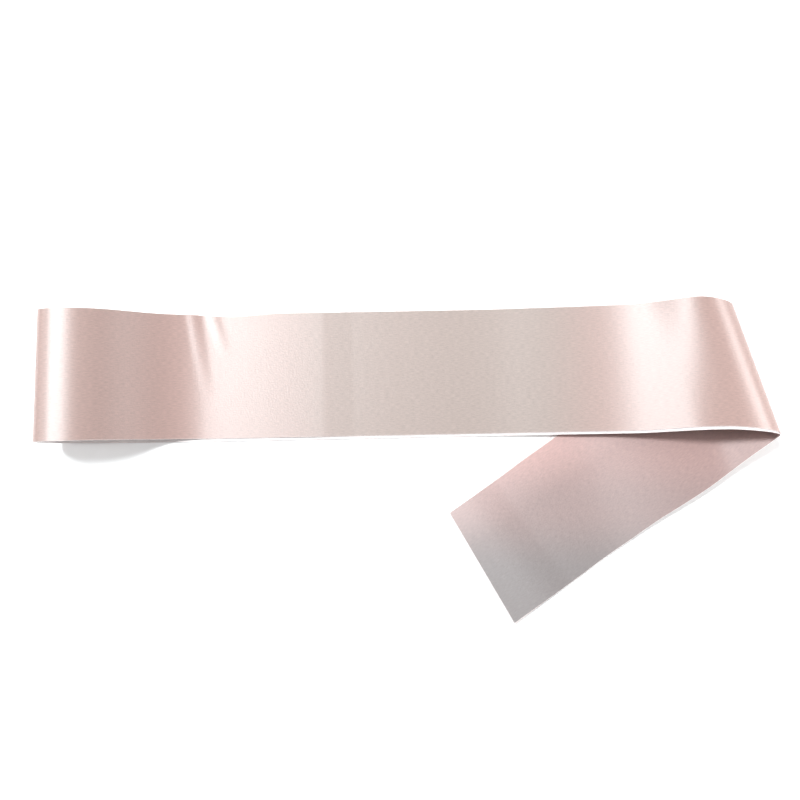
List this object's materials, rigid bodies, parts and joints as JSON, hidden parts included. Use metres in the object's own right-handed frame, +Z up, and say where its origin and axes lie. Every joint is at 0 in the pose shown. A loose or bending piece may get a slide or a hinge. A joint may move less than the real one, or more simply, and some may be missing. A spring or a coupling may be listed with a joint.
{
  "type": "satin sash",
  "caption": "Long plain satin sash, folded in half end to end, with a soft open loop at one end and the doubled tail turned over to the front at the other.",
  "frame": {"origin": "on the table, under the middle of the whole sash's box", "axes": "+X along the long run, from the left loop to the right fold; +Y across the run towards its back edge, away from the tail; +Z up from the table"},
  "size_m": [0.5442, 0.24, 0.0451],
  "materials": {
    "top_run": "shiny satin",
    "under_run": "shiny satin",
    "tail_upper": "shiny satin",
    "tail_lower": "shiny satin"
  },
  "bodies": {
    "root": {"top_run": "top_run", "under_run": "under_run", "tail_upper": "tail_upper", "tail_lower": "tail_lower"}
  },
  "joints": []
}
